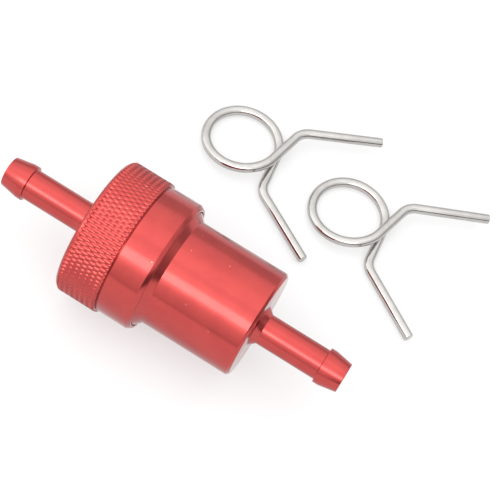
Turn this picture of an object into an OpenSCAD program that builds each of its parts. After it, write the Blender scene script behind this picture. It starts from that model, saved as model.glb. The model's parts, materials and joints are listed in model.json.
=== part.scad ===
// In-line fuel filter: a turned body that screws apart, a cleanable mesh element held by a spring, and the
// two bent-wire clips that hold the fuel hoses on its barbs. All sizes are in millimetres. The axis of the
// filter is X, fuel flows towards +X, and the origin is the middle of the smooth part of the housing.

/* [Housing] */
// Diameter of the smooth body
body_d = 21.2; // [19:0.1:25.6]
// Length of the smooth body
body_len = 18.2; // [15:0.1:24]
// Wall of the body
body_wall = 1.6; // [1.3:0.1:2]
// Thickness of the flat end wall
end_wall = 2; // [1.4:0.1:3]
// Corner chamfer of the flat end
body_chamfer = 0.5; // [0.2:0.1:0.9]

/* [Inlet cap] */
// How far the skirt stands out past the body, on the radius
skirt_step = 2.45; // [2.2:0.05:3.2]
// How far the knurl stands out past the skirt, on the radius
knurl_step = 0.5; // [0.2:0.05:1]
// Length of the knurled band, its two chamfers included
knurl_len = 8.4; // [6.5:0.1:11]
// Length of the smooth skirt
skirt_len = 7.1; // [6.5:0.1:9]
// Thickness of the cap's front wall
cap_wall = 2.5; // [1.6:0.1:3.2]
// Chamfer at each edge of the knurled band
knurl_chamfer = 0.6; // [0.3:0.1:1]

/* [Hose barbs] */
// Diameter of both shanks, for a hose of 6.35 mm bore
shank_d = 6; // [5:0.1:7.2]
// How far a barb stands out past the shank, on the radius
barb_step = 0.5; // [0.3:0.05:0.9]
// Fuel passage through each shank
passage_d = 4.2; // [3:0.1:4.4]
// Length of the inlet shank, front wall to barb
inlet_shank_len = 14.2; // [10:0.1:20]
// Length of the outlet shank, boss to barb
outlet_shank_len = 12.1; // [9:0.1:18]
// Length of a barb, step to tip
barb_len = 4.6; // [3.5:0.1:6]

/* [Thread and seal] */
// Pitch of the cap thread
thread_pitch = 1; // [0.8:0.05:1.1]
// Full turns of thread
thread_turns = 5; // [4:1:5]
// Depth of the thread
thread_depth = 0.6; // [0.45:0.05:0.65]
// Radial clearance over the thread crests
thread_gap = 0.1; // [0.05:0.01:0.15]
// Section of the O-ring, as squeezed
o_ring_wire = 1.3; // [1.1:0.05:1.5]

/* [Filter element] */
// Outside diameter of the perforated core
core_d = 10.4; // [8.5:0.1:11.6]
// Length of the core that shows
core_len = 16.6; // [13:0.1:20]
// Wall of the core
core_wall = 0.5; // [0.4:0.05:0.7]
// Diameter of a core hole
core_hole_d = 2.2; // [1.5:0.1:2.6]
// Thickness of the woven mesh
mesh_t = 0.3; // [0.2:0.05:0.4]
// Wire of the spring
spring_wire = 0.9; // [0.6:0.05:1]
// Coils of the spring
spring_coils = 5; // [4:0.5:6]

/* [Hose clips] */
// Diameter of the clip wire
clip_wire = 2; // [1.6:0.05:2.2]
// Inside diameter of the clip loop
clip_bore = 13.1; // [11:0.1:15]
// Length of a clip arm past its bend
clip_arm_len = 17; // [12:0.1:20]
// Angle between a clip arm and the clip's centre line
clip_arm_angle = 30.5; // [20:0.5:34]
// Where the inlet clip lies beside the filter
inlet_clip_at = [-15.45, 41.85];
// Where the outlet clip lies beside the filter
outlet_clip_at = [10.55, 40.05];
// How far the inlet clip lies turned from the filter's axis
inlet_clip_turn = -0.5; // [-20:0.5:20]
// How far the outlet clip lies turned from the filter's axis
outlet_clip_turn = -2.5; // [-20:0.5:20]

/* [Hidden] */
$fn = 96;
fit_gap = 0.02;

// radii, from the body outwards and inwards
body_r = body_d / 2;
bore_r = body_r - body_wall;
skirt_r = body_r + skirt_step;
knurl_r = skirt_r + knurl_step;
thread_r = body_r + 0.9;
root_r = thread_r - thread_depth;
flange_r = thread_r + 0.35;
cap_bore_r = thread_r + thread_gap;
mouth_r = flange_r + thread_gap;
passage_r = passage_d / 2;
shank_r = shank_d / 2;
barb_r = shank_r + barb_step;

// places along the axis
body_end_x = body_len / 2;
shoulder_x = -body_len / 2;
skirt_end_x = shoulder_x - 1.2;
knurl_end_x = skirt_end_x - skirt_len;
cap_front_x = knurl_end_x - knurl_len;
floor_x = body_end_x - end_wall;
chamber_x = cap_front_x + cap_wall;
flange_back_x = skirt_end_x - 0.7;
stop_x = flange_back_x - fit_gap;
thread_len = thread_pitch * thread_turns;
thread_end_x = flange_back_x - 0.3 - thread_len;
o_ring_x = thread_end_x - 0.7 - o_ring_wire / 2;
groove_half = o_ring_wire / 2 + 0.15;
nose_x = o_ring_x - groove_half - 0.8;
cap_step_x = nose_x - 0.3;

// seal: the groove's floor, and the cap bore that the ring rubs on
seal_bore_r = root_r + 0.25;
groove_r = seal_bore_r - o_ring_wire - fit_gap;

// the end boss and the barbs
boss_r = shank_r + 1.1;
boss_len = 1.2;
barb_land = 1.2;
tip_r = barb_r - 0.6;

// the element, from the outlet end back towards the inlet
gasket_t = 1;
collar_t = 2;
spigot_len = 2;
core_r = core_d / 2;
core_in_r = core_r - core_wall;
spigot_r = core_in_r - fit_gap;
collar_r = bore_r - 0.5;
mesh_in_r = core_r + 0.05;
mesh_r = mesh_in_r + mesh_t;
gasket_x = floor_x - gasket_t;
collar_x = gasket_x - collar_t;
core_x = collar_x - core_len;
plug_t = 1.5;
plug_x = core_x - plug_t;
plug_r = mesh_r + 0.4;
seat_t = 0.7;
seat_x = chamber_x + 0.05;
spring_x = seat_x + seat_t;
spring_len = plug_x - spring_x;
spring_r = spring_wire / 2;
spring_mean_r = core_in_r - spring_r;
seat_r = spring_mean_r + spring_r + 1;
chamber_r = seat_r + 1;
hole_rows = 4;
holes_round = 6;

// the clips: the loop, the crossing and the bends, in the clip's own plane
wire_r = clip_wire / 2;
clip_r = clip_bore / 2 + wire_r;
bend_at = [clip_r * 1.185, clip_r * 1.04];
bend_r = 2.6;
leave_angle = acos(clip_r / norm(bend_at)) - atan2(bend_at[1], bend_at[0]);
cross_rise = clip_wire + 0.15;
hinge_gap = 0.3;
floor_z = -knurl_r;

// a solid of revolution about X: each point is [place along X, radius]
module turned(points) {
    rotate([0, 90, 0]) rotate_extrude() polygon([for (p = points) [p[1], p[0]]]);
}

// a ring about X between two places and two radii
module ring_x(x0, x1, r_in, r_out) {
    turned([[x0, r_in], [x1, r_in], [x1, r_out], [x0, r_out]]);
}

// one thread ridge, a ring with sloping flanks
module thread_ridge(x) {
    turned([[x, root_r - 0.1], [x, root_r], [x + thread_pitch * 0.35, thread_r],
        [x + thread_pitch * 0.55, thread_r], [x + thread_pitch * 0.9, root_r],
        [x + thread_pitch * 0.9, root_r - 0.1]]);
}

// a round wire along a row of points: up is any direction that the wire never follows
module wire_along(points, r, up, sides = 16) {
    n = len(points);
    along = [for (i = [0:n - 1]) let (d = points[min(i + 1, n - 1)] - points[max(i - 1, 0)]) d / norm(d)];
    rings = [for (i = [0:n - 1])
        let (c = cross(along[i], up), side = c / norm(c), top = cross(side, along[i]))
        for (k = [0:sides - 1]) points[i] + r * (cos(360 * k / sides) * side + sin(360 * k / sides) * top)];
    walls = [for (i = [0:n - 2], k = [0:sides - 1])
        let (a = i * sides + k, b = i * sides + (k + 1) % sides) [a, b, b + sides, a + sides]];
    near_end = [[for (k = [0:sides - 1]) sides - 1 - k]];
    far_end = [[for (k = [0:sides - 1]) (n - 1) * sides + k]];
    polyhedron(rings, concat(walls, near_end, far_end));
}

// points of one half of a clip, from the back of the loop to the end of its arm. The half runs round the
// -Y side of the loop and its arm stands on the +Y side, and it rises by lift before it crosses the other.
function clip_half_points(lift) =
    let (
        start = 180 + hinge_gap / clip_r * 180 / PI,
        stop = 360 - leave_angle,
        loop = [for (i = [0:24]) let (t = i / 24, a = start + (stop - start) * t)
            [clip_r * cos(a), clip_r * sin(a), lift * t * t * (3 - 2 * t)]],
        leg = 90 - leave_angle,
        turn = leg - clip_arm_angle,
        back = bend_r * tan(turn / 2),
        centre = bend_at - back * [cos(leg), sin(leg)] + bend_r * [sin(leg), -cos(leg)],
        bend = [for (i = [0:6]) let (a = leg + 90 - turn * i / 6)
            [centre[0] + bend_r * cos(a), centre[1] + bend_r * sin(a), lift]],
        arm_end = bend_at + clip_arm_len * [cos(clip_arm_angle), sin(clip_arm_angle)]
    )
    concat(loop, bend, [[arm_end[0], arm_end[1], lift]]);

// half of a clip lying on the floor: the over half is the mirror image of the under half, but raised
module clip_half(at, turn, over) {
    points = clip_half_points(over ? cross_rise : 0);
    translate([at[0], at[1], floor_z + wire_r]) rotate([0, 0, turn]) mirror([0, over ? 0 : 1, 0])
        wire_along(points, wire_r, [0, 0, 1]);
}

module housing() {
    step_x = body_end_x + boss_len + outlet_shank_len;
    color("indianred") {
        turned([
            [nose_x, bore_r], [nose_x, root_r - 0.3], [nose_x + 0.3, root_r],
            [o_ring_x - groove_half, root_r], [o_ring_x - groove_half, groove_r],
            [o_ring_x + groove_half, groove_r], [o_ring_x + groove_half, root_r],
            [flange_back_x, root_r], [flange_back_x, flange_r], [skirt_end_x, flange_r],
            [shoulder_x, body_r], [body_end_x - body_chamfer, body_r],
            [body_end_x, body_r - body_chamfer], [body_end_x, boss_r],
            [body_end_x + boss_len, shank_r], [step_x, shank_r], [step_x, barb_r],
            [step_x + barb_land, barb_r], [step_x + barb_len, tip_r],
            [step_x + barb_len, passage_r], [floor_x, passage_r], [floor_x, bore_r]
        ]);
        for (i = [0:thread_turns - 1]) thread_ridge(thread_end_x + i * thread_pitch);
    }
}

module cap_o_ring() {
    color("dimgray") rotate([0, 90, 0]) translate([0, 0, o_ring_x]) rotate_extrude()
        translate([groove_r + fit_gap / 2 + o_ring_wire / 2, 0]) circle(d = o_ring_wire);
}

module inlet_cap() {
    step_x = cap_front_x - inlet_shank_len;
    color("indianred") turned([
        [step_x - barb_len, passage_r], [step_x - barb_len, tip_r], [step_x - barb_land, barb_r],
        [step_x, barb_r], [step_x, shank_r], [cap_front_x, shank_r],
        [cap_front_x, knurl_r - knurl_chamfer], [cap_front_x + knurl_chamfer, knurl_r],
        [knurl_end_x - knurl_chamfer / 2, knurl_r], [knurl_end_x, skirt_r],
        [skirt_end_x - 0.8, skirt_r], [skirt_end_x, skirt_r - 0.5], [skirt_end_x, mouth_r],
        [stop_x, mouth_r], [stop_x, cap_bore_r], [thread_end_x - 0.2, cap_bore_r],
        [thread_end_x - 0.4, seal_bore_r], [cap_step_x, seal_bore_r], [cap_step_x, chamber_r],
        [chamber_x, chamber_r], [chamber_x, passage_r]
    ]);
}

module element_gasket() {
    color("saddlebrown") ring_x(gasket_x, floor_x, passage_r + 1.2, collar_r);
}

module element_collar() {
    color("silver") turned([
        [gasket_x, spigot_r - 0.8], [gasket_x, collar_r], [collar_x, collar_r], [collar_x, spigot_r],
        [collar_x - spigot_len, spigot_r], [collar_x - spigot_len, spigot_r - 0.8]
    ]);
}

module element_core() {
    pitch = (core_len - 2 * spigot_len) / hole_rows;
    color("lightgray") difference() {
        ring_x(core_x, collar_x, core_in_r, core_r);
        for (row = [0:hole_rows - 1], k = [0:holes_round - 1])
            translate([core_x + spigot_len + pitch * (row + 0.5), 0, 0])
                rotate([(k + 0.25 + 0.5 * (row % 2)) * 360 / holes_round, 0, 0])
                    cylinder(h = core_d, d = core_hole_d, $fn = 24);
    }
}

module element_mesh() {
    color("gray") ring_x(core_x, collar_x, mesh_in_r, mesh_r);
}

module element_end_plug() {
    color("silver") turned([
        [plug_x, 0], [plug_x, plug_r], [core_x, plug_r], [core_x, spigot_r],
        [core_x + spigot_len, spigot_r], [core_x + spigot_len, 0]
    ]);
}

module element_spring() {
    steps = 24;
    run = spring_len - spring_wire - 2 * fit_gap;
    // the end coils lie flat, the coils between them climb evenly
    function climb(t) = let (e = 0.75 / spring_coils) t < e ? 0 : t > 1 - e ? 1 : (t - e) / (1 - 2 * e);
    coil = [for (i = [0:steps * spring_coils])
        let (t = i / (steps * spring_coils), a = 360 * spring_coils * t)
        [spring_x + fit_gap + spring_r + run * climb(t), spring_mean_r * cos(a), spring_mean_r * sin(a)]];
    color("lightgray") wire_along(coil, spring_r, [1, 0, 0], 10);
}

module spring_seat() {
    color("silver") ring_x(seat_x, spring_x, passage_r + 0.3, seat_r);
}

module inlet_clip_under() {
    color("gainsboro") clip_half(inlet_clip_at, inlet_clip_turn, false);
}

module inlet_clip_over() {
    color("gainsboro") clip_half(inlet_clip_at, inlet_clip_turn, true);
}

module outlet_clip_under() {
    color("gainsboro") clip_half(outlet_clip_at, outlet_clip_turn, false);
}

module outlet_clip_over() {
    color("gainsboro") clip_half(outlet_clip_at, outlet_clip_turn, true);
}

housing();
cap_o_ring();
inlet_cap();
element_gasket();
element_collar();
element_core();
element_mesh();
element_end_plug();
element_spring();
spring_seat();
inlet_clip_under();
inlet_clip_over();
outlet_clip_under();
outlet_clip_over();
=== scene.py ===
"""Looks of an in-line fuel filter: a red anodised body that screws apart, its element, and two clips."""

import json
import math

import bmesh
import bpy
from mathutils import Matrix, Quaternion, Vector


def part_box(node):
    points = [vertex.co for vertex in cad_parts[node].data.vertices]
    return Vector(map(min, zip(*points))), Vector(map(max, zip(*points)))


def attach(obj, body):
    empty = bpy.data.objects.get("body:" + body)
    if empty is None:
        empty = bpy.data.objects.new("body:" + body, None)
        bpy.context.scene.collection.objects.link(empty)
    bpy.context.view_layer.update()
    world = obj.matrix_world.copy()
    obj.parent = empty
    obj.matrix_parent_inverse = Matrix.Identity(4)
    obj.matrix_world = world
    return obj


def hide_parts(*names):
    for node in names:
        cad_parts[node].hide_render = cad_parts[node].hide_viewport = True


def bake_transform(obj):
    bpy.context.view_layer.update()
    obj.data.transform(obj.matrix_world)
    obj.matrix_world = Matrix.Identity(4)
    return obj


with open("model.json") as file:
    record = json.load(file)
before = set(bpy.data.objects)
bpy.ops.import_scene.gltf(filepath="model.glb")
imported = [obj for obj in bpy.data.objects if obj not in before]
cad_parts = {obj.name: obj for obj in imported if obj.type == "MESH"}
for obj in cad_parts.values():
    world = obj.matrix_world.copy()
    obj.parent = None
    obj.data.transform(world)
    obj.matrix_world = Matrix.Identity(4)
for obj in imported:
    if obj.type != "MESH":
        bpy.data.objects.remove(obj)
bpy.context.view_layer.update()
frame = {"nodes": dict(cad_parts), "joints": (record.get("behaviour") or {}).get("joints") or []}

MM = 0.001
TURN = 2 * math.pi

# ---------------------------------------------------------------- sizes, in millimetres, read from the frame


def span(node):
    """Lowest and highest corner of a CAD node, in millimetres."""
    low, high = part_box(node)
    return Vector(low) / MM, Vector(high) / MM


HOUSING_LOW, HOUSING_HIGH = span("housing")
CAP_LOW, CAP_HIGH = span("inlet_cap")
CORE_HIGH = span("element_core")[1]
MESH_LOW, MESH_HIGH = span("element_mesh")
PLUG_LOW, PLUG_HIGH = span("element_end_plug")
COLLAR_LOW, COLLAR_HIGH = span("element_collar")
GASKET_LOW, GASKET_HIGH = span("element_gasket")
SPRING_LOW, SPRING_HIGH = span("element_spring")
SEAT_LOW, SEAT_HIGH = span("spring_seat")
RING_LOW, RING_HIGH = span("cap_o_ring")

KNURL_R = CAP_HIGH.z                      # crest of the knurl
SKIRT_R = KNURL_R - 0.5
FLANGE_R = HOUSING_HIGH.z                 # the housing's flange, just inside the skirt
BODY_R = FLANGE_R - 1.25
BORE_R = BODY_R - 1.6
BODY_END = 9.1
BODY_CHAMFER = 0.5
SHOULDER = -BODY_END
SKIRT_END = SHOULDER - 1.2
KNURL_END = SKIRT_END - 7.1
CAP_FRONT = KNURL_END - 8.4
CHAMBER = CAP_FRONT + 2.5
CHAMBER_R = SEAT_HIGH.z + 1.0             # the spring's chamber, round its seat washer
BORE_FLOOR = BODY_END - 2.0
NOSE = HOUSING_LOW.x                      # end of the housing's neck
NOSE_GAP = 0.3
NOSE_CHAMFER = 0.3
FLANGE_BACK = SKIRT_END - 0.7

SHANK_R = 3.0
BARB_R = 3.5
TIP_R = 2.9
PASSAGE_R = 2.1
BARB_LAND = 1.2
BARB_LEN = 4.6
BOSS_R = SHANK_R + 1.1
BOSS_LEN = 1.2

THREAD_PITCH = 1.0
THREAD_TURNS = 5
THREAD_R = BODY_R + 0.9                   # crest of the housing's thread
THREAD_ROOT_R = THREAD_R - 0.6
THREAD_START = FLANGE_BACK - 0.3 - THREAD_PITCH * THREAD_TURNS
THREAD_GAP = 0.1                          # between the neck's thread and the cap's
NECK_THREAD_LOW, NECK_THREAD_HIGH = THREAD_START - 0.25, FLANGE_BACK - 0.01
CAP_THREAD_LOW, CAP_THREAD_HIGH = THREAD_START - 0.15, FLANGE_BACK - 0.03
UNDER_THREAD_END = FLANGE_BACK - 0.02     # where the face under each helix ends
NECK_STEP = 0.05                          # length of the step down to the face under the neck's helix
SEAL_LEAD = 0.2                           # length of the slope from the seal bore to the cap's thread
SEAL_R = THREAD_ROOT_R + 0.25
RING_X = (RING_LOW.x + RING_HIGH.x) / 2
RING_WIRE = RING_HIGH.x - RING_LOW.x
GROOVE_SIDE = 0.15                        # room for the O-ring at each side of its groove
GROOVE_UNDER = 0.02                       # and under it
BURIED = 0.03                             # how deep a face lies under the thread or knurl on it
GASKET_HOLE_R = PASSAGE_R + 1.2
SEAT_HOLE_R = PASSAGE_R + 0.3

KNURL_CHAMFER = 0.6
KNURL_DEPTH = 0.21
KNURL_ROUND = 90                          # diamonds round the band
KNURL_LONG = 2.15                         # length of one diamond along the axis
KNURL_ROWS = int((KNURL_END - CAP_FRONT) / KNURL_LONG * 2) + 2    # half a diamond apart, past the band's end
RELIEF_DEPTH = 0.22                       # the turned groove between the knurl and the skirt
RELIEF_WIDTH = 0.2
TAPER_LENGTH = 0.8                        # the taper at the skirt's end
TAPER_DEPTH = 0.5
MOUTH_GAP = 0.2                           # the dark line where the skirt ends, round the housing's flange
MOUTH_DEPTH = 0.05

CORE_WALL = 0.52
COLLAR_WALL = 0.8
SPRING_WIRE_R = 0.45

SIDES_LARGE, SIDES_MIDDLE, SIDES_SMALL = 192, 128, 96    # of turned pieces
SHARP = math.radians(35)                  # an edge that bends more than this is drawn sharp
KNURL_SHARP = 1.2                         # the same for the knurl, in radians, so that its crests look worn
EASE = 0.12                               # radius of a deburred corner

# ---------------------------------------------------------------- camera

# A long lens looks down on the filter from the inlet's left, turned so that the axis falls to the right.
CAMERA_AZIMUTH = 10.218
CAMERA_ELEVATION = 57.224
CAMERA_ROLL = 23.0
CAMERA_DISTANCE = 288.3
CAMERA_AIM = Vector((0.57, 9.09, 5.70))
CAMERA_LENS = 115.2


def direction(azimuth, elevation):
    """The way to a point at an azimuth and elevation in degrees: 0 is on the camera's side, 90 towards +X."""
    a, e = math.radians(azimuth), math.radians(elevation)
    return Vector((math.sin(a) * math.cos(e), -math.cos(a) * math.cos(e), math.sin(e)))


def add_camera():
    """The camera, at its angle and distance from the point that it aims at."""
    back = direction(CAMERA_AZIMUTH, CAMERA_ELEVATION)
    data = bpy.data.cameras.new("camera")
    data.lens = CAMERA_LENS
    data.sensor_width = 36.0
    data.clip_start, data.clip_end = 0.01, 10.0
    camera = bpy.data.objects.new("camera", data)
    bpy.context.scene.collection.objects.link(camera)
    camera.location = (CAMERA_AIM + back * CAMERA_DISTANCE) * MM
    camera.rotation_mode = "QUATERNION"
    level = (-back).to_track_quat("-Z", "Y")
    camera.rotation_quaternion = level @ Quaternion((0, 0, 1), math.radians(CAMERA_ROLL))
    bpy.context.scene.camera = camera


add_camera()

# ---------------------------------------------------------------- node trees and materials

MATHS = "ShaderNodeMath"
JOINED = "ShaderNodeCombineXYZ"
PARTED = "ShaderNodeSeparateXYZ"
RANGE = "ShaderNodeMapRange"
RAMP = "ShaderNodeValToRGB"
NOISE = "ShaderNodeTexNoise"
BUMP = "ShaderNodeBump"
LINE = "GeometryNodeMeshLine"
MOVE = "GeometryNodeSetPosition"
STAND = "GeometryNodeInstanceOnPoints"


def linear(code):
    """Linear colour of an sRGB hex code."""
    parts = [int(code[i:i + 2], 16) / 255 for i in (1, 3, 5)]
    return [p / 12.92 if p <= 0.04045 else ((p + 0.055) / 1.055) ** 2.4 for p in parts] + [1.0]


def grey(value):
    """A grey for a ramp that carries a number."""
    return (value, value, value, 1.0)


def first(value):
    """A node's first output, or the value itself if it isn't a node."""
    return value.outputs[0] if isinstance(value, bpy.types.Node) else value


def add(tree, kind, inputs=(), stops=(), **settings):
    """Adds a node. Settings are its properties. Inputs are values or links by socket name, or in the sockets'
    order, and a node stands for its first output. Stops are the (place, colour) pairs of a colour ramp."""
    made = tree.nodes.new(kind)
    for name, value in settings.items():
        setattr(made, name, value)
    pairs = inputs.items() if isinstance(inputs, dict) else enumerate(inputs)
    for key, value in pairs:
        source = first(value)
        if isinstance(source, bpy.types.NodeSocket):
            tree.links.new(source, made.inputs[key])
        else:
            made.inputs[key].default_value = source
    if stops:
        band = made.color_ramp.elements
        while len(band) < len(stops):
            band.new(0.5)
        for element, (place, colour) in zip(band, stops):
            element.position = place
            element.color = colour
    return made


def new_material(name, **surface):
    """A material with one Principled shader, whose plain values are set on its own sockets."""
    material = bpy.data.materials.new(name)
    material.use_nodes = True
    tree = material.node_tree
    tree.nodes.clear()
    shader = add(tree, "ShaderNodeBsdfPrincipled", surface)
    add(tree, "ShaderNodeOutputMaterial", (shader,))
    return material, tree, shader


def dress(tree, shader, colour, gloss, relief):
    """Links a colour, a roughness and a bump to the shader."""
    for socket, value in (("Base Color", colour), ("Roughness", gloss), ("Normal", relief)):
        tree.links.new(first(value), shader.inputs[socket])


def object_point(tree, scale):
    """Object coordinates, scaled."""
    place = add(tree, "ShaderNodeTexCoord").outputs["Object"]
    return add(tree, "ShaderNodeMapping", {"Vector": place, "Scale": (scale, scale, scale)})


def from_axis(tree, place):
    """The distance from the X axis of a place that is already parted in X, Y and Z."""
    squares = [add(tree, MATHS, (place.outputs[axis], 2.0), operation="POWER") for axis in ("Y", "Z")]
    return add(tree, MATHS, (add(tree, MATHS, squares, operation="ADD"),), operation="SQRT")


def lathe_lines(tree, scale, detail):
    """Fine rings that a lathe leaves: noise along X and along the radius, so that end faces have them too."""
    place = add(tree, PARTED, (add(tree, "ShaderNodeTexCoord").outputs["Object"],))
    section = add(tree, JOINED, (place.outputs["X"], from_axis(tree, place)))
    return add(tree, NOISE, {"Vector": section, "Scale": scale, "Detail": detail, "Roughness": 0.6})


DYE_PALE = linear("#B9342F")
DYE_DEEP = linear("#B02C2A")
DUST = linear("#E0A098")
EDGE_TINT = linear("#B8706C")             # dye deepens where the surface is seen at a flat angle


def anodised_aluminium(name, roughness, coat_roughness):
    """Anodised aluminium, turned on a lathe: a dyed metal gloss with fine rings round the axis and faint
    handling marks, so highlights stretch a little along the tool lines and the red deepens in the shade."""
    material, tree, shader = new_material(name, Metallic=1.0, **{
        "Specular Tint": EDGE_TINT, "Coat Weight": 1.0, "Coat Roughness": coat_roughness})
    # tool lines: rings 0.24 mm wide, with finer ones between them
    lines = lathe_lines(tree, 4200.0, 3.0)
    # uneven dye and handling: patches of 4 mm
    patches = add(tree, NOISE, {"Vector": object_point(tree, 250), "Scale": 1.0, "Detail": 4.0,
                                "Roughness": 0.55})
    # dust specks and tiny nicks: cells of 1.4 mm, only the centre of a few
    cells = add(tree, "ShaderNodeTexVoronoi", {"Vector": object_point(tree, 700), "Scale": 1.0,
                                               "Randomness": 1.0})
    speck = add(tree, RAMP, (cells,), [(0.0, grey(1)), (0.05, grey(1)), (0.09, grey(0))])
    draw = add(tree, "ShaderNodeSeparateColor", (cells.outputs["Color"],))
    chosen = add(tree, RAMP, (draw,), [(0.0, grey(0)), (0.86, grey(0)), (0.9, grey(1))])
    specks = add(tree, MATHS, (speck, chosen), operation="MULTIPLY")
    dye = add(tree, RAMP, (patches,), [(0.3, DYE_DEEP), (0.62, DYE_PALE)])
    dusty = add(tree, "ShaderNodeMix", {0: specks, 6: dye, 7: DUST}, data_type="RGBA")
    gloss = add(tree, RAMP, (lines,), [(0.3, grey(roughness)), (0.7, grey(roughness + 0.04))])
    rings = add(tree, BUMP, {"Height": lines, "Strength": 0.1, "Distance": 0.004 * MM})
    nicks = add(tree, BUMP, {"Height": specks, "Strength": 0.4, "Distance": 0.03 * MM, "Normal": rings})
    dress(tree, shader, dusty.outputs[2], gloss, nicks)
    return material


def bright_wire(name, dark, light, roughness):
    """Plated or bare wire: from a near mirror to a satin gloss, with dull spots of 2 mm and less."""
    material, tree, shader = new_material(name, Metallic=1.0)
    spots = add(tree, NOISE, {"Vector": object_point(tree, 500), "Scale": 1.0, "Detail": 5.0,
                              "Roughness": 0.6})
    tint = add(tree, RAMP, (spots,), [(0.3, linear(dark)), (0.6, linear(light))])
    gloss = add(tree, RAMP, (spots,), [(0.35, grey(roughness)), (0.75, grey(roughness + 0.12))])
    relief = add(tree, BUMP, {"Height": spots, "Strength": 0.08, "Distance": 0.02 * MM})
    dress(tree, shader, tint, gloss, relief)
    return material


def turned_metal(name, dark, light, roughness):
    """Bare turned or rolled metal: grey, with 0.4 mm tool rings that spread its highlights."""
    material, tree, shader = new_material(name, Metallic=1.0)
    lines = lathe_lines(tree, 2500.0, 4.0)
    tint = add(tree, RAMP, (lines,), [(0.3, linear(dark)), (0.65, linear(light))])
    gloss = add(tree, RAMP, (lines,), [(0.3, grey(roughness)), (0.7, grey(roughness + 0.14))])
    relief = add(tree, BUMP, {"Height": lines, "Strength": 0.2, "Distance": 0.03 * MM})
    dress(tree, shader, tint, gloss, relief)
    return material


def soft_rubber(name, dark, light):
    """Moulded rubber or pressed fibre: dull, with a fine grain of 0.15 mm and a slight bloom."""
    material, tree, shader = new_material(name, **{"Specular IOR Level": 0.4})
    grain = add(tree, NOISE, {"Vector": object_point(tree, 6500), "Scale": 1.0, "Detail": 3.0})
    bloom = add(tree, NOISE, {"Vector": object_point(tree, 400), "Scale": 1.0, "Detail": 3.0})
    tint = add(tree, RAMP, (bloom,), [(0.3, linear(dark)), (0.75, linear(light))])
    gloss = add(tree, RAMP, (grain,), [(0.3, grey(0.55)), (0.7, grey(0.75))])
    relief = add(tree, BUMP, {"Height": grain, "Strength": 0.3, "Distance": 0.02 * MM})
    dress(tree, shader, tint, gloss, relief)
    return material


RED_ANODISED = anodised_aluminium("red_anodised_aluminium", 0.16, 0.16)
RED_KNURLED = anodised_aluminium("red_anodised_knurl", 0.24, 0.14)
NICKEL_WIRE = bright_wire("nickel_plated_wire", "#B1AEAB", "#BBB9B6", 0.05)
SPRING_WIRE = bright_wire("spring_steel_wire", "#A9A39B", "#C9C5BE", 0.22)
BARE_ALUMINIUM = turned_metal("bare_turned_aluminium", "#B9BABC", "#D8D9DA", 0.28)
PUNCHED_STEEL = turned_metal("punched_stainless_tube", "#9C9993", "#BDBAB4", 0.25)
WOVEN_STEEL = bright_wire("woven_stainless_wire", "#8E8A83", "#B4B0A8", 0.28)
BLACK_RUBBER = soft_rubber("nitrile_rubber", "#161615", "#262523")
RED_FIBRE = soft_rubber("pressed_fibre", "#5E2F1F", "#7A4430")

# ---------------------------------------------------------------- meshes


def finish_mesh(made, material, sharp=SHARP):
    """Gives a mesh its material and its shading."""
    mesh = made.data
    mesh.materials.clear()
    mesh.materials.append(material)
    mesh.shade_smooth()
    mesh.set_sharp_from_angle(angle=sharp)
    return made


def mesh_object(name, points, faces, material):
    """An object of points in millimetres, shaded smooth but for its sharp edges."""
    mesh = bpy.data.meshes.new(name)
    mesh.from_pydata([Vector(p) * MM for p in points], [], faces)
    mesh.validate()
    made = bpy.data.objects.new(name, mesh)
    bpy.context.scene.collection.objects.link(made)
    return finish_mesh(made, material)


def eased(outline, radius, steps=3):
    """The outline of a turned piece with every corner eased to a small radius, as deburring leaves it."""
    least_bend, least_reach, most_share = 0.12, 0.004, 0.45
    points = [Vector(p) for p in outline]
    rounded = []
    for i, corner in enumerate(points):
        before, after = points[i - 1] - corner, points[(i + 1) % len(points)] - corner
        bend = math.pi - before.angle(after)
        reach = radius * math.tan(bend / 2) if bend > least_bend else 0.0
        reach = min(reach, most_share * before.length, most_share * after.length)
        if reach < least_reach:
            rounded.append(corner)
            continue
        start, end = corner + before.normalized() * reach, corner + after.normalized() * reach
        for step in range(steps + 1):
            t = step / steps
            rounded.append(start * (1 - t) ** 2 + corner * 2 * t * (1 - t) + end * t * t)
    return rounded


def turned(name, outline, material, segments, ease=EASE):
    """A closed solid of revolution about X. The outline is a loop of (place along X, radius), outside first,
    and points on the axis make one pole each."""
    loop = eased(outline, ease) if ease else [Vector(p) for p in outline]
    points, rings = [], []
    for x, r in loop:
        if r < 1e-6:
            rings.append([len(points)] * segments)
            points.append((x, 0, 0))
            continue
        rings.append(list(range(len(points), len(points) + segments)))
        points += [(x, r * math.cos(TURN * k / segments), r * math.sin(TURN * k / segments))
                   for k in range(segments)]
    faces = []
    for i, ring in enumerate(rings):
        following = rings[(i + 1) % len(rings)]
        for k in range(segments):
            after = (k + 1) % segments
            corners = [ring[k], ring[after], following[after], following[k]]
            kept = [c for j, c in enumerate(corners) if c not in corners[:j]]
            if len(kept) > 2:
                faces.append(kept)
    return mesh_object(name, points, faces, material)


def join(name, pieces):
    """One object from several."""
    with bpy.context.temp_override(active_object=pieces[0], object=pieces[0], selected_objects=pieces,
                                   selected_editable_objects=pieces):
        bpy.ops.object.join()
    pieces[0].name = pieces[0].data.name = name
    return pieces[0]


def put(piece, body, node):
    """A piece rides on a body and stands in for a node, which it hides."""
    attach(piece, body)
    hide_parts(node)


# ---------------------------------------------------------------- geometry node trees


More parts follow.
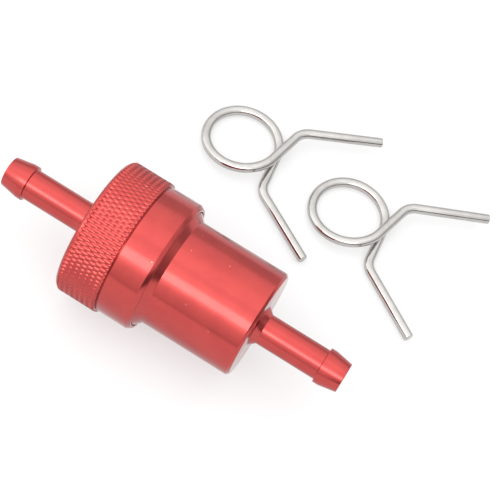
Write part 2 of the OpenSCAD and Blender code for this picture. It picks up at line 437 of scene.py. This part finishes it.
def new_tree(name, sizes):
    """A geometry node tree with named number inputs."""
    tree = bpy.data.node_groups.new(name, "GeometryNodeTree")
    tree.interface.new_socket("Geometry", in_out="INPUT", socket_type="NodeSocketGeometry")
    for label, value in sizes.items():
        kind = "NodeSocketInt" if isinstance(value, int) else "NodeSocketFloat"
        tree.interface.new_socket(label, in_out="INPUT", socket_type=kind).default_value = value
    tree.interface.new_socket("Geometry", in_out="OUTPUT", socket_type="NodeSocketGeometry")
    return tree, add(tree, "NodeGroupInput").outputs


def close_tree(tree, geometry, material):
    """Turns millimetres to metres and ends a tree in Realize Instances and Set Material."""
    metres = add(tree, "GeometryNodeTransform", {"Geometry": geometry, "Scale": (MM, MM, MM)})
    real = add(tree, "GeometryNodeRealizeInstances", (metres,))
    dressed = add(tree, "GeometryNodeSetMaterial", {"Geometry": real, "Material": material})
    add(tree, "NodeGroupOutput", (dressed,))
    return tree


def grown(name, tree, sizes, material, sharp=SHARP):
    """The plain mesh that a tree makes, with its inputs set by identifier."""
    seed = bpy.data.objects.new(name + "_seed", bpy.data.meshes.new(name + "_seed"))
    bpy.context.scene.collection.objects.link(seed)
    modifier = seed.modifiers.new("tree", "NODES")
    modifier.node_group = tree
    for item in tree.interface.items_tree:
        if item.in_out == "INPUT" and item.name in sizes:
            modifier[item.identifier] = sizes[item.name]
    evaluated = seed.evaluated_get(bpy.context.evaluated_depsgraph_get())
    mesh = bpy.data.meshes.new_from_object(evaluated)
    bpy.data.objects.remove(seed)
    made = bpy.data.objects.new(name, mesh)
    mesh.name = name
    bpy.context.scene.collection.objects.link(made)
    return finish_mesh(made, material, sharp)


def round_x(tree, radius, angle):
    """Y and Z of a place round X, from its radius and its angle from Y towards Z."""
    shares = [add(tree, MATHS, (angle,), operation=way) for way in ("COSINE", "SINE")]
    return [add(tree, MATHS, (radius, share), operation="MULTIPLY") for share in shares]


def swept(tree, edges, radius, sides):
    """A round section carried along mesh edges."""
    curve = add(tree, "GeometryNodeMeshToCurve", (edges,))
    section = add(tree, "GeometryNodeCurvePrimitiveCircle", {"Resolution": sides, "Radius": radius},
                  mode="RADIUS")
    return add(tree, "GeometryNodeCurveToMesh", {"Curve": curve, "Profile Curve": section, "Fill Caps": True})


def knurl_tree():
    """Diamonds stood on a grid round the X axis, every other row half a step on, cut at the band's ends."""
    sizes = {"Radius": 13.0, "Depth": 0.4, "Round": 90, "Rows": 9, "Long": 2.15, "Start": 0.0, "End": 8.0,
             "Chamfer": 0.6, "End Chamfer": 0.1, "Flat": 0.36}
    tree, given = new_tree("diamond_knurl", sizes)
    round_length = add(tree, MATHS, (given["Radius"], TURN), operation="MULTIPLY")
    width = add(tree, MATHS, (round_length, given["Round"]), operation="DIVIDE")
    half_wide = add(tree, MATHS, (width, 0.5), operation="MULTIPLY")
    half_long = add(tree, MATHS, (given["Long"], 0.5), operation="MULTIPLY")
    # one diamond: a four sided frustum, its long corner along X, its flat crest towards Z
    cone = add(tree, "GeometryNodeMeshCone", {
        "Vertices": 4, "Side Segments": 2, "Fill Segments": 1, "Radius Top": given["Flat"],
        "Radius Bottom": 1.0, "Depth": given["Depth"]}, fill_type="NGON")
    diamond = add(tree, "GeometryNodeTransform", {
        "Geometry": cone, "Scale": add(tree, JOINED, (half_long, half_wide, 1.0)),
        "Translation": add(tree, JOINED, (0.0, 0.0, given["Radius"]))})
    # the grid: point number i stands in row i / round
    count = add(tree, MATHS, (given["Round"], given["Rows"]), operation="MULTIPLY")
    grid = add(tree, LINE, {"Count": count, "Offset": (0, 0, 0)}, mode="OFFSET")
    index = add(tree, "GeometryNodeInputIndex")
    middle = add(tree, MATHS, (index, 0.5), operation="ADD")
    rows_before = add(tree, MATHS, (middle, given["Round"]), operation="DIVIDE")
    row = add(tree, MATHS, (rows_before,), operation="FLOOR")
    row_first = add(tree, MATHS, (row, given["Round"]), operation="MULTIPLY")
    column = add(tree, MATHS, (index, row_first), operation="SUBTRACT")
    odd_row = add(tree, MATHS, (row, 2.0), operation="MODULO")
    late = add(tree, MATHS, (odd_row, 0.5), operation="MULTIPLY")
    place_round = add(tree, MATHS, (column, late), operation="ADD")
    step = add(tree, MATHS, (TURN, given["Round"]), operation="DIVIDE")
    angle = add(tree, MATHS, (place_round, step), operation="MULTIPLY")
    along = add(tree, MATHS, (row, half_long), operation="MULTIPLY")
    row_x = add(tree, MATHS, (given["Start"], along), operation="ADD")
    placed = add(tree, MOVE, {"Geometry": grid, "Position": add(tree, JOINED, (row_x,))})
    stood = add(tree, STAND, {"Points": placed, "Instance": diamond, "Rotation": add(tree, JOINED, (angle,))})
    real = add(tree, "GeometryNodeRealizeInstances", (stood,))
    # cut: nothing passes the ends, and nothing stands above the chamfers
    place = add(tree, PARTED, (add(tree, "GeometryNodeInputPosition"),))
    before_end = add(tree, MATHS, (place.outputs["X"], given["End"]), operation="MINIMUM")
    x = add(tree, MATHS, (before_end, given["Start"]), operation="MAXIMUM")
    radius = from_axis(tree, place)
    spare = add(tree, MATHS, (given["Chamfer"], given["End Chamfer"]), operation="SUBTRACT")
    from_start = add(tree, MATHS, (x, given["Start"]), operation="SUBTRACT")
    to_end = add(tree, MATHS, (given["End"], x), operation="SUBTRACT")
    end_room = add(tree, MATHS, (to_end, spare), operation="ADD")
    nearest = add(tree, MATHS, (from_start, end_room), operation="MINIMUM")
    crest = add(tree, MATHS, (given["Radius"], given["Depth"]), operation="ADD")
    edge = add(tree, MATHS, (crest, given["Chamfer"]), operation="SUBTRACT")
    limit = add(tree, MATHS, (edge, nearest), operation="ADD")
    shorter = add(tree, MATHS, (radius, limit), operation="MINIMUM")
    shrink = add(tree, MATHS, (shorter, radius), operation="DIVIDE")
    y, z = (add(tree, MATHS, (place.outputs[axis], shrink), operation="MULTIPLY") for axis in ("Y", "Z"))
    trimmed = add(tree, MOVE, {"Geometry": real, "Position": add(tree, JOINED, (x, y, z))})
    return close_tree(tree, trimmed, RED_KNURLED)


def thread_tree():
    """A V thread on a sleeve round X: the surface rises and falls along a helix, and fades at both ends."""
    sizes = {"Radius": 11.0, "Depth": 0.6, "Pitch": 1.0, "Start": 0.0, "End": 5.0, "Fade": 0.6, "Around": 192,
             "Along": 72, "Phase": 0.0}
    tree, given = new_tree("helical_thread", sizes)
    sheet = add(tree, "GeometryNodeMeshGrid", {
        "Size X": 1.0, "Size Y": 1.0, "Vertices X": given["Along"], "Vertices Y": given["Around"]})
    place = add(tree, PARTED, (add(tree, "GeometryNodeInputPosition"),))
    length = add(tree, MATHS, (given["End"], given["Start"]), operation="SUBTRACT")
    share = add(tree, MATHS, (place.outputs["X"], 0.5), operation="ADD")
    along = add(tree, MATHS, (share, length), operation="MULTIPLY")
    turn = add(tree, MATHS, (place.outputs["Y"], 0.5), operation="ADD")
    # the ridge: 0 in the root, 1 on the crest, with a flat on each
    pitches = add(tree, MATHS, (along, given["Pitch"]), operation="DIVIDE")
    shifted = add(tree, MATHS, (turn, given["Phase"]), operation="SUBTRACT")
    wave = add(tree, MATHS, (pitches, shifted), operation="SUBTRACT")
    fraction = add(tree, MATHS, (wave,), operation="FRACT")
    centred = add(tree, MATHS, (fraction, 0.5), operation="SUBTRACT")
    saw = add(tree, MATHS, (centred,), operation="ABSOLUTE")
    ridge = add(tree, RANGE, {"Value": saw, "From Min": 0.44, "From Max": 0.08})
    to_end = add(tree, MATHS, (length, along), operation="SUBTRACT")
    nearest = add(tree, MATHS, (along, to_end), operation="MINIMUM")
    growth = add(tree, MATHS, (nearest, given["Fade"]), operation="DIVIDE")
    fade = add(tree, MATHS, (growth, 1.0), operation="MINIMUM")
    share_up = add(tree, MATHS, (ridge, fade), operation="MULTIPLY")
    height = add(tree, MATHS, (share_up, given["Depth"]), operation="MULTIPLY")
    radius = add(tree, MATHS, (given["Radius"], height), operation="ADD")
    angle = add(tree, MATHS, (turn, TURN), operation="MULTIPLY")
    x = add(tree, MATHS, (given["Start"], along), operation="ADD")
    position = add(tree, JOINED, (x, *round_x(tree, radius, angle)))
    sleeve = add(tree, MOVE, {"Geometry": sheet, "Position": position})
    closed = add(tree, "GeometryNodeMergeByDistance", {"Geometry": sleeve, "Distance": 0.0005})
    return close_tree(tree, closed, RED_ANODISED)


def spring_tree():
    """A compression spring: a wire wound round X, whose end coils lie flat."""
    sizes = {"Radius": 4.25, "Wire": 0.45, "Start": 0.0, "End": 8.0, "Coils": 5.0, "Steps": 240}
    tree, given = new_tree("compression_spring", sizes)
    line = add(tree, LINE, {"Count": given["Steps"], "Offset": (0, 0, 0)}, mode="OFFSET")
    last = add(tree, MATHS, (given["Steps"], 1.0), operation="SUBTRACT")
    share = add(tree, MATHS, (add(tree, "GeometryNodeInputIndex"), last), operation="DIVIDE")
    # three quarters of a coil lie flat at each end
    flat = add(tree, MATHS, (0.75, given["Coils"]), operation="DIVIDE")
    climb = add(tree, RANGE, {
        "Value": share, "From Min": flat, "From Max": add(tree, MATHS, (1.0, flat), operation="SUBTRACT"),
        "To Min": add(tree, MATHS, (given["Start"], given["Wire"]), operation="ADD"),
        "To Max": add(tree, MATHS, (given["End"], given["Wire"]), operation="SUBTRACT")})
    coils = add(tree, MATHS, (share, given["Coils"]), operation="MULTIPLY")
    angle = add(tree, MATHS, (coils, TURN), operation="MULTIPLY")
    position = add(tree, JOINED, (climb, *round_x(tree, given["Radius"], angle)))
    helix = add(tree, MOVE, {"Geometry": line, "Position": position})
    return close_tree(tree, swept(tree, helix, given["Wire"], 14), SPRING_WIRE)


def woven_tree():
    """Plain weave round a tube: wavy wires along X, and wavy rings that pass over and under them in turn."""
    sizes = {"Radius": 5.4, "Wire": 0.08, "Start": 0.0, "End": 16.0, "Round": 80, "Rows": 38}
    wire_sides = 5
    tree, given = new_tree("woven_sleeve", sizes)
    length = add(tree, MATHS, (given["End"], given["Start"]), operation="SUBTRACT")
    row_pitch = add(tree, MATHS, (length, given["Rows"]), operation="DIVIDE")
    step = add(tree, MATHS, (TURN, given["Round"]), operation="DIVIDE")
    index = add(tree, "GeometryNodeInputIndex")
    odd = add(tree, MATHS, (index, 2.0), operation="MODULO")
    quarters = add(tree, MATHS, (index, math.pi / 2), operation="MULTIPLY")
    # one wire along X: two points for each crossing, in and out by turns
    crossings = add(tree, MATHS, (given["Rows"], 2.0), operation="MULTIPLY")
    points = add(tree, MATHS, (crossings, 3.0), operation="ADD")
    line = add(tree, LINE, {"Count": points, "Offset": (0, 0, 0)}, mode="OFFSET")
    wave = add(tree, MATHS, (quarters,), operation="SINE")
    rise = add(tree, MATHS, (wave, given["Wire"]), operation="MULTIPLY")
    out = add(tree, MATHS, (given["Radius"], rise), operation="ADD")
    half_pitch = add(tree, MATHS, (row_pitch, 0.5), operation="MULTIPLY")
    travel = add(tree, MATHS, (index, half_pitch), operation="MULTIPLY")
    along = add(tree, MATHS, (given["Start"], travel), operation="ADD")
    bent = add(tree, MOVE, {"Geometry": line, "Position": add(tree, JOINED, (along, 0.0, out))})
    warp = swept(tree, bent, given["Wire"], wire_sides)
    stations = add(tree, LINE, {"Count": given["Round"], "Offset": (0, 0, 0)}, mode="OFFSET")
    one_back = add(tree, MATHS, (row_pitch, -1.0), operation="MULTIPLY")
    every_other = add(tree, MATHS, (odd, one_back), operation="MULTIPLY")
    shifted = add(tree, MOVE, {"Geometry": stations, "Position": add(tree, JOINED, (every_other,))})
    spin = add(tree, MATHS, (index, step), operation="MULTIPLY")
    warps = add(tree, STAND, {"Points": shifted, "Instance": warp, "Rotation": add(tree, JOINED, (spin,))})
    # one ring: it is out where the wire is in
    around = add(tree, MATHS, (given["Round"], 2.0), operation="MULTIPLY")
    loop = add(tree, "GeometryNodeMeshCircle", {"Vertices": around, "Radius": 1.0})
    counter = add(tree, MATHS, (quarters,), operation="COSINE")
    dip = add(tree, MATHS, (counter, given["Wire"]), operation="MULTIPLY")
    swing = add(tree, MATHS, (given["Radius"], dip), operation="SUBTRACT")
    half_step = add(tree, MATHS, (TURN, around), operation="DIVIDE")
    turn = add(tree, MATHS, (index, half_step), operation="MULTIPLY")
    up, across = round_x(tree, swing, turn)
    waved = add(tree, MOVE, {"Geometry": loop, "Position": add(tree, JOINED, (0.0, across, up))})
    weft = swept(tree, waved, given["Wire"], wire_sides)
    rows = add(tree, LINE, {"Count": given["Rows"], "Offset": (0, 0, 0)}, mode="OFFSET")
    middle = add(tree, MATHS, (index, 0.5), operation="ADD")
    to_row = add(tree, MATHS, (middle, row_pitch), operation="MULTIPLY")
    row_x = add(tree, MATHS, (given["Start"], to_row), operation="ADD")
    rowed = add(tree, MOVE, {"Geometry": rows, "Position": add(tree, JOINED, (row_x,))})
    late = add(tree, MATHS, (odd, step), operation="MULTIPLY")
    wefts = add(tree, STAND, {"Points": rowed, "Instance": weft, "Rotation": add(tree, JOINED, (late,))})
    both = add(tree, "GeometryNodeJoinGeometry")
    for wires in (warps, wefts):
        tree.links.new(wires.outputs[0], both.inputs[0])
    return close_tree(tree, both, WOVEN_STEEL)


# ---------------------------------------------------------------- the turned body


def barb(step, way):
    """The outline of a barb from shank to passage: step is the barb's back face, way its direction."""
    return [(step, SHANK_R), (step, BARB_R), (step + way * BARB_LAND, BARB_R),
            (step + way * BARB_LEN, TIP_R), (step + way * BARB_LEN, PASSAGE_R)]


def make_housing():
    """The housing: neck with thread and seal groove, flange, shoulder, body, end wall and outlet barb."""
    groove = RING_WIRE / 2 + GROOVE_SIDE
    floor = SEAL_R - RING_WIRE - GROOVE_UNDER
    under_thread = THREAD_ROOT_R - BURIED
    outline = [
        (NOSE, BORE_R), (NOSE, THREAD_ROOT_R - NOSE_CHAMFER), (NOSE + NOSE_CHAMFER, THREAD_ROOT_R),
        (RING_X - groove, THREAD_ROOT_R), (RING_X - groove, floor), (RING_X + groove, floor),
        (RING_X + groove, THREAD_ROOT_R), (NECK_THREAD_LOW, THREAD_ROOT_R),
        (NECK_THREAD_LOW + NECK_STEP, under_thread), (UNDER_THREAD_END, under_thread),
        (FLANGE_BACK, THREAD_ROOT_R), (FLANGE_BACK, FLANGE_R), (SKIRT_END - MOUTH_DEPTH, FLANGE_R),
        (SHOULDER, BODY_R), (BODY_END - BODY_CHAMFER, BODY_R), (BODY_END, BODY_R - BODY_CHAMFER),
        (BODY_END, BOSS_R), (BODY_END + BOSS_LEN, SHANK_R)]
    outline += barb(HOUSING_HIGH.x - BARB_LEN, 1)
    outline += [(BORE_FLOOR, PASSAGE_R), (BORE_FLOOR, BORE_R)]
    shell = turned("housing_shell", outline, RED_ANODISED, SIDES_LARGE)
    thread = grown("housing_thread", thread_tree(), {
        "Radius": THREAD_ROOT_R, "Depth": THREAD_R - THREAD_ROOT_R, "Pitch": THREAD_PITCH,
        "Start": NECK_THREAD_LOW, "End": NECK_THREAD_HIGH}, RED_ANODISED)
    return join("housing_body", [shell, thread])


def make_cap():
    """The inlet cap: barb, shank, front wall, knurled band and skirt, with the female thread inside."""
    root = KNURL_R - KNURL_DEPTH
    edge = KNURL_R - KNURL_CHAMFER
    relief_end = KNURL_END + RELIEF_WIDTH
    mouth_r = FLANGE_R + MOUTH_GAP
    under_thread = THREAD_R + THREAD_GAP + BURIED
    outline = list(reversed(barb(CAP_LOW.x + BARB_LEN, -1)))
    outline += [
        (CAP_FRONT, SHANK_R), (CAP_FRONT, edge), (CAP_FRONT + (root - edge), root - BURIED),
        (KNURL_END, root - BURIED), (KNURL_END, SKIRT_R - RELIEF_DEPTH), (relief_end, SKIRT_R - RELIEF_DEPTH),
        (relief_end, SKIRT_R), (SKIRT_END - TAPER_LENGTH, SKIRT_R), (SKIRT_END, SKIRT_R - TAPER_DEPTH),
        (SKIRT_END, mouth_r), (UNDER_THREAD_END, mouth_r), (UNDER_THREAD_END, under_thread),
        (CAP_THREAD_LOW, under_thread), (CAP_THREAD_LOW - SEAL_LEAD, SEAL_R), (NOSE - NOSE_GAP, SEAL_R),
        (NOSE - NOSE_GAP, CHAMBER_R), (CHAMBER, CHAMBER_R), (CHAMBER, PASSAGE_R)]
    shell = turned("cap_shell", outline, RED_ANODISED, SIDES_LARGE)
    # the ridge of each helix lies in the root of the other, half a pitch on
    phase = 0.5 + (CAP_THREAD_LOW - NECK_THREAD_LOW) / THREAD_PITCH
    thread = grown("cap_thread", thread_tree(), {
        "Radius": THREAD_R + THREAD_GAP, "Depth": SEAL_R + BURIED - THREAD_R - THREAD_GAP,
        "Pitch": THREAD_PITCH, "Phase": phase, "Start": CAP_THREAD_LOW, "End": CAP_THREAD_HIGH}, RED_ANODISED)
    knurl = grown("cap_knurl", knurl_tree(), {
        "Radius": root, "Depth": KNURL_DEPTH, "Round": KNURL_ROUND, "Long": KNURL_LONG,
        "Rows": KNURL_ROWS, "Start": CAP_FRONT, "End": KNURL_END, "Chamfer": KNURL_CHAMFER},
        RED_KNURLED, KNURL_SHARP)
    return join("cap_body", [shell, thread, knurl])


put(make_housing(), "housing", "housing")
put(make_cap(), "inlet_cap", "inlet_cap")

# ---------------------------------------------------------------- seal and element


def ring_outline(low, high, inner, outer):
    """The outline of a plain ring."""
    return [(low, inner), (low, outer), (high, outer), (high, inner)]


def make_o_ring():
    """The O-ring in its groove."""
    sides = 24
    section_r = RING_WIRE / 2
    middle = RING_HIGH.z - section_r
    angles = [TURN * k / sides for k in range(sides)]
    section = [(RING_X - section_r * math.cos(a), middle + section_r * math.sin(a)) for a in angles]
    return turned("o_ring", section, BLACK_RUBBER, SIDES_SMALL, ease=0)


def make_core():
    """The punched tube, a merged copy of its CAD node."""
    made = frame["nodes"]["element_core"].copy()
    made.data = made.data.copy()
    made.name = made.data.name = "core_tube"
    bpy.context.scene.collection.objects.link(made)
    work = bmesh.new()
    work.from_mesh(made.data)
    bmesh.ops.remove_doubles(work, verts=work.verts, dist=1e-7)
    work.to_mesh(made.data)
    work.free()
    return finish_mesh(made, PUNCHED_STEEL)


def add_element():
    """Every piece of the element and its spring."""
    spigot_r = CORE_HIGH.z - CORE_WALL
    put(make_o_ring(), "housing", "cap_o_ring")
    gasket = turned("gasket_ring", ring_outline(GASKET_LOW.x, GASKET_HIGH.x, GASKET_HOLE_R, GASKET_HIGH.z),
                    RED_FIBRE, SIDES_SMALL, ease=0.08)
    put(gasket, "element", "element_gasket")
    hole = spigot_r - COLLAR_WALL
    collar = turned("collar_ring", [
        (COLLAR_LOW.x, hole), (COLLAR_LOW.x, spigot_r), (MESH_HIGH.x, spigot_r),
        (MESH_HIGH.x, COLLAR_HIGH.z), (COLLAR_HIGH.x, COLLAR_HIGH.z), (COLLAR_HIGH.x, hole)],
        BARE_ALUMINIUM, SIDES_MIDDLE)
    put(collar, "element", "element_collar")
    plug = turned("end_plug", [
        (PLUG_LOW.x, 0), (PLUG_LOW.x, PLUG_HIGH.z), (MESH_LOW.x, PLUG_HIGH.z), (MESH_LOW.x, spigot_r),
        (PLUG_HIGH.x, spigot_r), (PLUG_HIGH.x, 0)], BARE_ALUMINIUM, SIDES_MIDDLE)
    put(plug, "element", "element_end_plug")
    put(make_core(), "element", "element_core")
    mesh = grown("mesh_sleeve", woven_tree(), {
        "Radius": (CORE_HIGH.z + MESH_HIGH.z) / 2, "Start": MESH_LOW.x, "End": MESH_HIGH.x}, WOVEN_STEEL)
    put(mesh, "element", "element_mesh")
    seat = turned("seat_washer", ring_outline(SEAT_LOW.x, SEAT_HIGH.x, SEAT_HOLE_R, SEAT_HIGH.z),
                  PUNCHED_STEEL, SIDES_SMALL, ease=0.1)
    put(seat, "spring_seat", "spring_seat")
    spring = grown("spring_coil", spring_tree(), {
        "Radius": SPRING_HIGH.z - SPRING_WIRE_R, "Wire": SPRING_WIRE_R, "Start": SPRING_LOW.x,
        "End": SPRING_HIGH.x}, SPRING_WIRE)
    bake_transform(spring)
    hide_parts("element_spring")


add_element()

# ---------------------------------------------------------------- hose clips

CLIP_WIRE_R = 1.0
CLIP_R = 7.55
CLIP_BEND = Vector((CLIP_R * 1.185, CLIP_R * 1.04))
CLIP_BEND_R = 4.0
CLIP_ARM_LEN = 17.0
CLIP_ARM_ANGLE = math.radians(30.5)
CLIP_RISE = 2.15                          # how high the over half lies where it crosses the under half
CLIP_BACK = math.radians(15)              # half the arc at the loop's back, a piece of its own, where the real clip bends as it is pinched
# the loop ends, and its straight leg starts, at this angle from the X axis
CLIP_LEAVE = math.acos(CLIP_R / CLIP_BEND.length) - math.atan2(CLIP_BEND.y, CLIP_BEND.x)
CLIP_HALVES = (("under", 0.0, True, "_clip"), ("over", CLIP_RISE, False, "_clip_arm"))
LOOP_STEPS, BEND_STEPS, BACK_STEPS = 64, 16, 12
CUT_REACH, CUT_EDGE = 0.16, 0.05          # a cut end is eased over this length, and first by this much


def loop_points(start, stop, steps, lift):
    """Points of half a loop between two angles from its back, rising smoothly as far as the crossing."""
    points = []
    for i in range(steps + 1):
        angle = start + (stop - start) * i / steps
        t = angle / (math.pi - CLIP_LEAVE)
        rise = lift * t * t * (3 - 2 * t)
        points.append(Vector((-CLIP_R * math.cos(angle), -CLIP_R * math.sin(angle), rise)))
    return points


def clip_path(lift):
    """Points of half a clip from the stiff part of its loop to the end of its arm."""
    points = loop_points(CLIP_BACK, math.pi - CLIP_LEAVE, LOOP_STEPS, lift)
    leg = math.pi / 2 - CLIP_LEAVE
    turn = leg - CLIP_ARM_ANGLE
    back = CLIP_BEND_R * math.tan(turn / 2)
    centre = (CLIP_BEND - back * Vector((math.cos(leg), math.sin(leg)))
              + CLIP_BEND_R * Vector((math.sin(leg), -math.cos(leg))))
    for i in range(BEND_STEPS + 1):
        angle = leg + math.pi / 2 - turn * i / BEND_STEPS
        spoke = CLIP_BEND_R * Vector((math.cos(angle), math.sin(angle)))
        points.append(Vector((centre.x + spoke.x, centre.y + spoke.y, lift)))
    end = CLIP_BEND + CLIP_ARM_LEN * Vector((math.cos(CLIP_ARM_ANGLE), math.sin(CLIP_ARM_ANGLE)))
    points.append(Vector((end.x, end.y, lift)))
    return points


def wire(path, radius, sides=28, cut_end=True):
    """A round wire along a path that is never upright. A cut end is eased by two smaller rings."""
    rings = [(p, radius) for p in path]
    if cut_end:
        tip = path[-1]
        inward = (path[-2] - tip).normalized()
        rings[-1:] = [(tip + inward * CUT_REACH, radius), (tip + inward * CUT_EDGE, radius - CUT_EDGE),
                      (tip, radius - CUT_REACH)]
    points, faces = [], []
    for i, (place, r) in enumerate(rings):
        along = (rings[min(i + 1, len(rings) - 1)][0] - rings[max(i - 1, 0)][0]).normalized()
        side = along.cross(Vector((0, 0, 1))).normalized()
        top = side.cross(along)
        for k in range(sides):
            angle = TURN * k / sides
            points.append(place + r * (math.cos(angle) * side + math.sin(angle) * top))
    for i in range(len(rings) - 1):
        for k in range(sides):
            a, b = i * sides + k, i * sides + (k + 1) % sides
            faces.append([a, b, b + sides, a + sides])
    faces.append([sides - 1 - k for k in range(sides)])
    faces.append([(len(rings) - 1) * sides + k for k in range(sides)])
    return points, faces


def placed(points, at, turn, flip):
    """Clip points put where the clip lies, mirrored for its under half."""
    moved = []
    for p in points:
        q = Vector((p.x, -p.y if flip else p.y, p.z))
        moved.append(Vector((at.x + q.x * math.cos(turn) - q.y * math.sin(turn),
                             at.y + q.x * math.sin(turn) + q.y * math.cos(turn), at.z + q.z)))
    return moved


def add_clip(side, at, turn):
    """One clip: two stiff halves and the arc at the back that joins them."""
    arcs = []
    for half, lift, flip, body in CLIP_HALVES:
        name = side + "_wire_" + half
        piece = mesh_object(name, *wire(placed(clip_path(lift), at, turn, flip), CLIP_WIRE_R), NICKEL_WIRE)
        put(piece, side + body, side + "_clip_" + half)
        arcs.append(placed(loop_points(0.0, CLIP_BACK, BACK_STEPS, lift), at, turn, flip))
    path = list(reversed(arcs[0])) + arcs[1][1:]
    piece = mesh_object(side + "_wire_back", *wire(path, CLIP_WIRE_R, cut_end=False), NICKEL_WIRE)
    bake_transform(piece)


def clip_back(side):
    """The back of a clip's loop, which is where the hinge of its record is."""
    joint = next(j for j in frame["joints"] if j["name"] == side + "_clip_pinch")
    return Vector(joint["pos_m"]) / MM


for side, degrees in (("inlet", -0.5), ("outlet", -2.5)):
    turn = math.radians(degrees)
    add_clip(side, clip_back(side) + CLIP_R * Vector((math.cos(turn), math.sin(turn), 0)), turn)

# ---------------------------------------------------------------- floor and light

FLOOR_Z = CAP_LOW.z * MM
FLOOR_HALF = 3.0


def white_sweep():
    """The pale floor: a white light table, a matt board that glows a little from beneath."""
    material = new_material("white_board", Roughness=0.7, **{
        "Base Color": linear("#A0A0A0"), "Emission Color": linear("#FFFFFF"), "Emission Strength": 0.49})[0]
    mesh = bpy.data.meshes.new("floor")
    corners = [(x * FLOOR_HALF, y * FLOOR_HALF, 0) for x, y in ((-1, -1), (1, -1), (1, 1), (-1, 1))]
    mesh.from_pydata(corners, [], [(0, 1, 2, 3)])
    floor = bpy.data.objects.new("floor", mesh)
    mesh.materials.append(material)
    floor.location.z = FLOOR_Z
    bpy.context.scene.collection.objects.link(floor)


def soft_box(name, azimuth, elevation, distance, size, power):
    """A rectangular soft box that faces the filter, in metres and watts."""
    data = bpy.data.lights.new(name, "AREA")
    data.shape = "RECTANGLE"
    data.size, data.size_y = size
    data.energy = power
    lamp = bpy.data.objects.new(name, data)
    way = direction(azimuth, elevation)
    lamp.location = way * distance
    lamp.rotation_mode = "QUATERNION"
    lamp.rotation_quaternion = way.to_track_quat("Z", "Y")
    bpy.context.scene.collection.objects.link(lamp)


# the tent's brightness at each angle round X: 0 is the near horizon, 90 overhead, 180 the far horizon
ROOM = [(0, 0.72), (2.5, 0.72), (4, 1.0), (15, 1.15), (28, 1.4), (36, 1.9), (42, 2.2), (58, 2.1), (70, 1.95),
        (75, 1.75), (80, 1.75), (85, 1.95), (104, 1.8), (118, 1.55), (132, 1.45), (148, 1.25), (153, 0.9),
        (170, 0.8)]
ROOM_SCALE = 4                            # the ramp holds the levels divided by this, so that none passes 1


def room_light():
    """A studio tent lit from above, darker at the outlet's end."""
    world = bpy.data.worlds.new("room")
    world.use_nodes = True
    tree = world.node_tree
    tree.nodes.clear()
    way = add(tree, PARTED, (add(tree, "ShaderNodeTexCoord").outputs["Generated"],))
    near = add(tree, MATHS, (way.outputs["Y"], -1.0), operation="MULTIPLY")
    angle = add(tree, MATHS, (way.outputs["Z"], near), operation="ARCTAN2")
    half_turns = add(tree, MATHS, (angle, math.pi), operation="DIVIDE")
    level = add(tree, RAMP, (half_turns,), [(degrees / 180, grey(strength / ROOM_SCALE))
                                            for degrees, strength in ROOM])
    dark_end = add(tree, RANGE, {"Value": way.outputs["X"], "From Min": 0.4, "From Max": 0.8,
                                 "To Min": ROOM_SCALE, "To Max": 2.4})
    # past the tent's open end the room is dark, low down, towards the outlet
    low = add(tree, RANGE, {"Value": way.outputs["Z"], "From Min": 0.26, "From Max": 0.42,
                            "To Min": 1.0, "To Max": 0.0})
    outlet_side = add(tree, RANGE, {"Value": way.outputs["X"], "From Min": 0.3, "From Max": 0.5,
                                    "To Min": 0.0, "To Max": 0.65})
    near_side = add(tree, RANGE, {"Value": way.outputs["Y"], "From Min": 0.05, "From Max": 0.3,
                                  "To Min": 1.0, "To Max": 0.0})
    low_outlet = add(tree, MATHS, (low, outlet_side), operation="MULTIPLY")
    dark = add(tree, MATHS, (low_outlet, near_side), operation="MULTIPLY")
    opening = add(tree, MATHS, (1.0, dark), operation="SUBTRACT")
    tent = add(tree, MATHS, (level, dark_end), operation="MULTIPLY")
    strength = add(tree, MATHS, (tent, opening), operation="MULTIPLY")
    sky = add(tree, "ShaderNodeBackground", {"Color": linear("#FFFFFF"), "Strength": strength})
    add(tree, "ShaderNodeOutputWorld", (sky,))
    bpy.context.scene.world = world


white_sweep()
room_light()
soft_box("key", azimuth=0, elevation=48, distance=0.6, size=(0.9, 0.18), power=1.15)
bpy.context.scene.view_settings.view_transform = "Standard"
